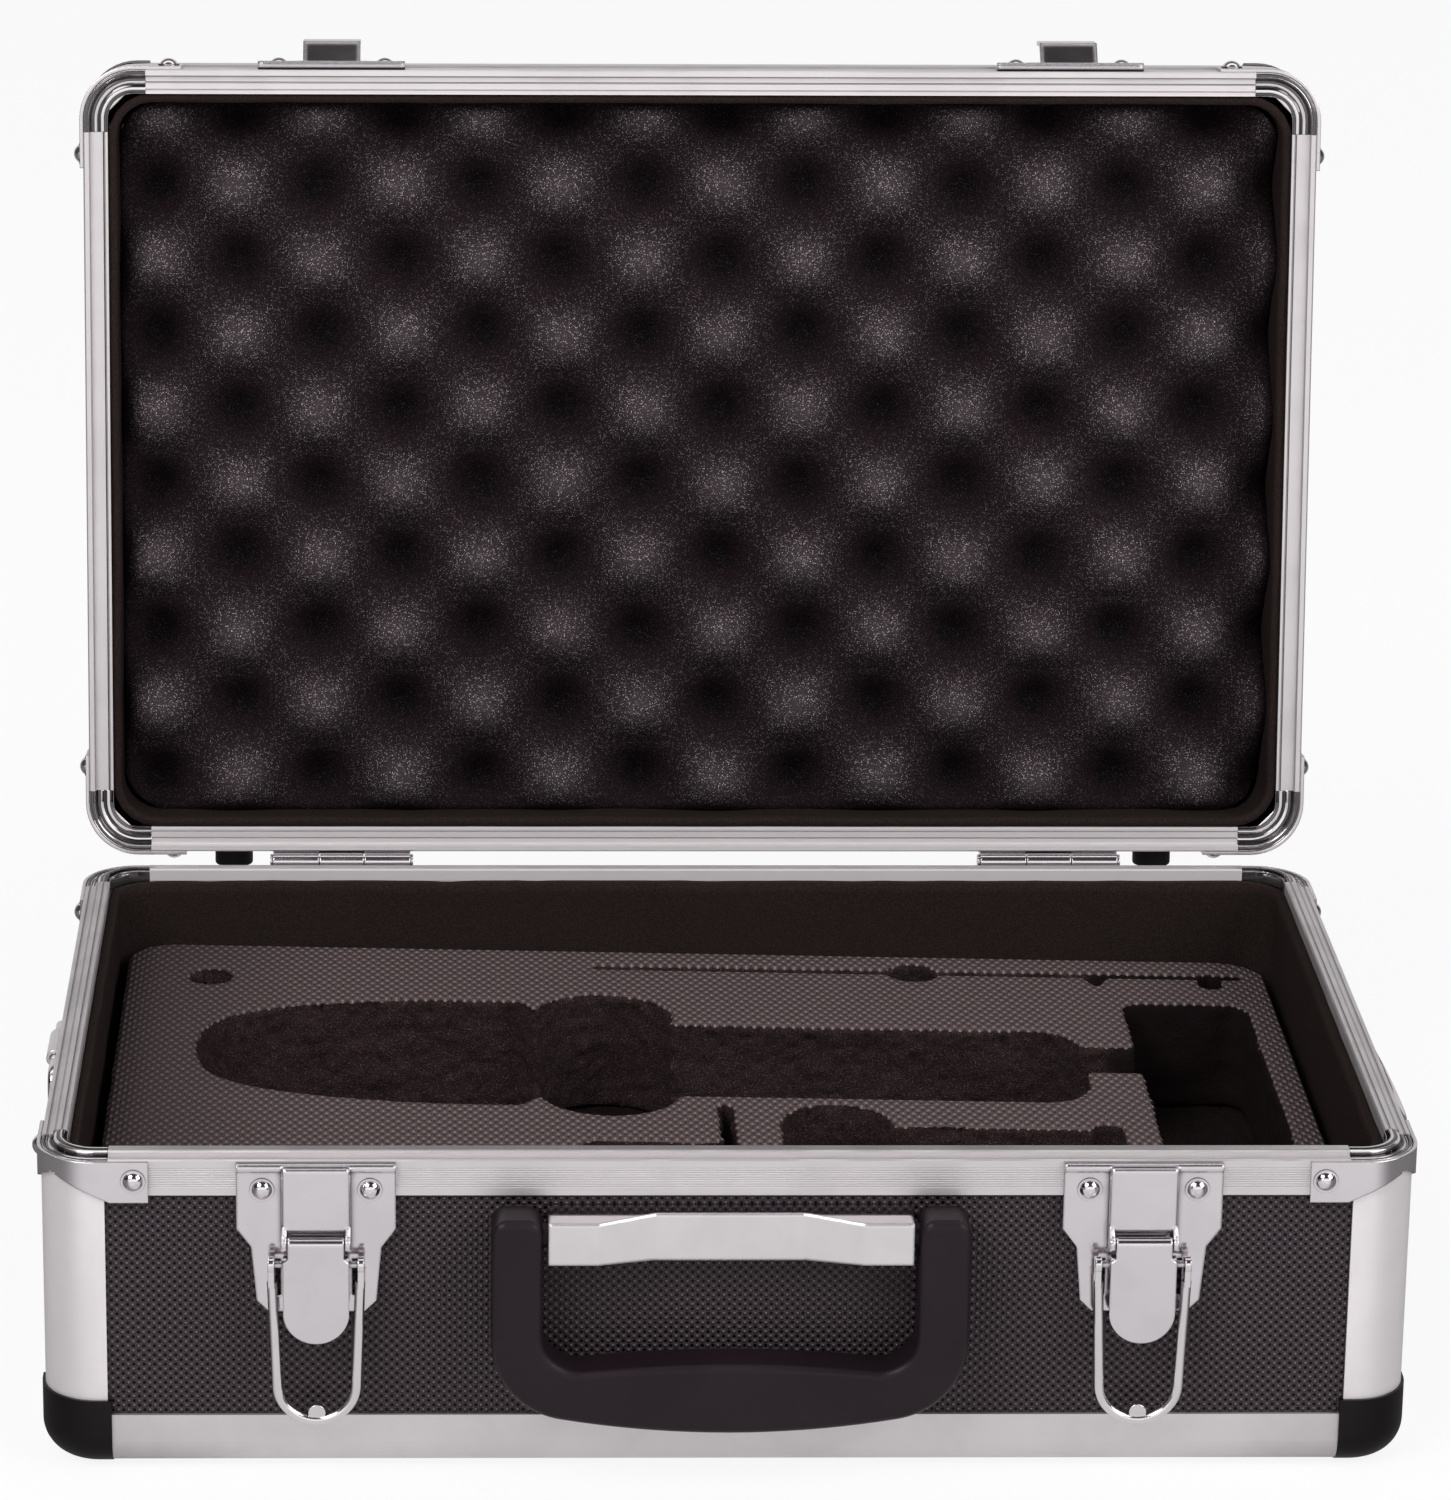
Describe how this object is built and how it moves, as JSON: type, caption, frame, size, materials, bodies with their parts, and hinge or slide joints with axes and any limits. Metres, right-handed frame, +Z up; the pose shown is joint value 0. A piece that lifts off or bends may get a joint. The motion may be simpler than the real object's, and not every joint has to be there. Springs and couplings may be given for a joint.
{
  "type": "tool case",
  "caption": "Small aluminium-framed tool case, open, with a hinged lid, draw latches, a carrying handle, strap rings and a foam insert cut for an angle grinder.",
  "frame": {"origin": "on the table, under the middle of the open case's bounding box", "axes": "+X to the right along the hinge, +Y from the front to the back, +Z up from the table"},
  "size_m": [0.3624, 0.3026, 0.3136],
  "materials": {
    "board": "satin",
    "frame_aluminium": "satin",
    "corner_casting": "satin",
    "bright_steel": "polished",
    "bright_wire": "polished",
    "rivet": "polished",
    "handle_chrome": "polished",
    "handle_plastic": "matte",
    "corner_plastic": "satin",
    "lining": "matte",
    "grey_foam": "matte",
    "black_foam": "matte",
    "foot_rubber": "matte"
  },
  "bodies": {
    "base": {"base_front_panel": "board", "base_rear_panel": "board", "base_left_panel": "board", "base_right_panel": "board", "base_bottom_panel": "board", "base_long_rims": "frame_aluminium", "base_side_rims": "frame_aluminium", "base_rim_corners": "corner_casting", "base_corner_posts": "frame_aluminium", "base_bottom_edges": "frame_aluminium", "base_ball_corners": "corner_plastic", "base_corner_brackets": "bright_steel", "base_corner_rivets": "rivet", "base_lining": "lining", "base_pad": "grey_foam", "foam_insert": "grey_foam", "hinge_base_leaves": "bright_steel", "hinge_pins": "bright_steel", "hinge_base_rivets": "rivet", "left_latch_plate": "bright_steel", "right_latch_plate": "bright_steel", "latch_lever_pins": "bright_steel", "latch_rivets": "rivet", "handle_bracket": "handle_chrome", "left_ring_holder": "bright_steel", "right_ring_holder": "bright_steel", "ring_holder_rivets": "rivet", "base_feet": "foot_rubber"},
    "lid": {"lid_front_panel": "board", "lid_rear_panel": "board", "lid_left_panel": "board", "lid_right_panel": "board", "lid_top_panel": "board", "lid_long_rims": "frame_aluminium", "lid_side_rims": "frame_aluminium", "lid_rim_corners": "corner_casting", "lid_corner_posts": "frame_aluminium", "lid_top_edges": "frame_aluminium", "lid_ball_corners": "corner_plastic", "lid_corner_brackets": "bright_steel", "lid_corner_rivets": "rivet", "lid_lining": "lining", "egg_crate_foam": "black_foam", "hinge_lid_leaves": "bright_steel", "hinge_lid_rivets": "rivet", "left_catch": "bright_steel", "right_catch": "bright_steel", "catch_rivets": "rivet", "lid_feet": "foot_rubber"},
    "handle": {"handle_grip": "handle_plastic"},
    "left_lever": {"left_latch_lever": "bright_steel", "left_bail_pin": "bright_steel"},
    "right_lever": {"right_latch_lever": "bright_steel", "right_bail_pin": "bright_steel"},
    "left_bail": {"left_latch_bail": "bright_wire"},
    "right_bail": {"right_latch_bail": "bright_wire"},
    "left_ring": {"left_strap_ring": "bright_wire"},
    "right_ring": {"right_strap_ring": "bright_wire"}
  },
  "joints": [
    {"name": "lid_hinge", "type": "hinge", "parent": "base", "child": "lid", "pos_m": [-0.00432, 0.08692, 0.0846], "axis": [1, 0, 0], "range_deg": [0, 97.6]},
    {"name": "handle_hinge", "type": "hinge", "parent": "base", "child": "handle", "pos_m": [-0.00432, -0.14498, 0.0673], "axis": [-1, 0, 0], "range_deg": [0, 95]},
    {"name": "left_lever_hinge", "type": "hinge", "parent": "base", "child": "left_lever", "pos_m": [-0.10752, -0.14418, 0.0643], "axis": [1, 0, 0], "range_deg": [-110, 0]},
    {"name": "left_bail_hinge", "type": "hinge", "parent": "left_lever", "child": "left_bail", "pos_m": [-0.10752, -0.14358, 0.0587], "axis": [-1, 0, 0], "range_deg": [0, 181.4]},
    {"name": "right_lever_hinge", "type": "hinge", "parent": "base", "child": "right_lever", "pos_m": [0.09888, -0.14418, 0.0643], "axis": [1, 0, 0], "range_deg": [-110, 0]},
    {"name": "right_bail_hinge", "type": "hinge", "parent": "right_lever", "child": "right_bail", "pos_m": [0.09888, -0.14358, 0.0587], "axis": [-1, 0, 0], "range_deg": [0, 181.4]},
    {"name": "left_ring_hinge", "type": "hinge", "parent": "base", "child": "left_ring", "pos_m": [-0.17883, -0.03098, 0.0732], "axis": [0, 1, 0], "range_deg": [0, 128]},
    {"name": "right_ring_hinge", "type": "hinge", "parent": "base", "child": "right_ring", "pos_m": [0.17017, -0.03098, 0.0732], "axis": [0, -1, 0], "range_deg": [-28, 98]}
  ]
}
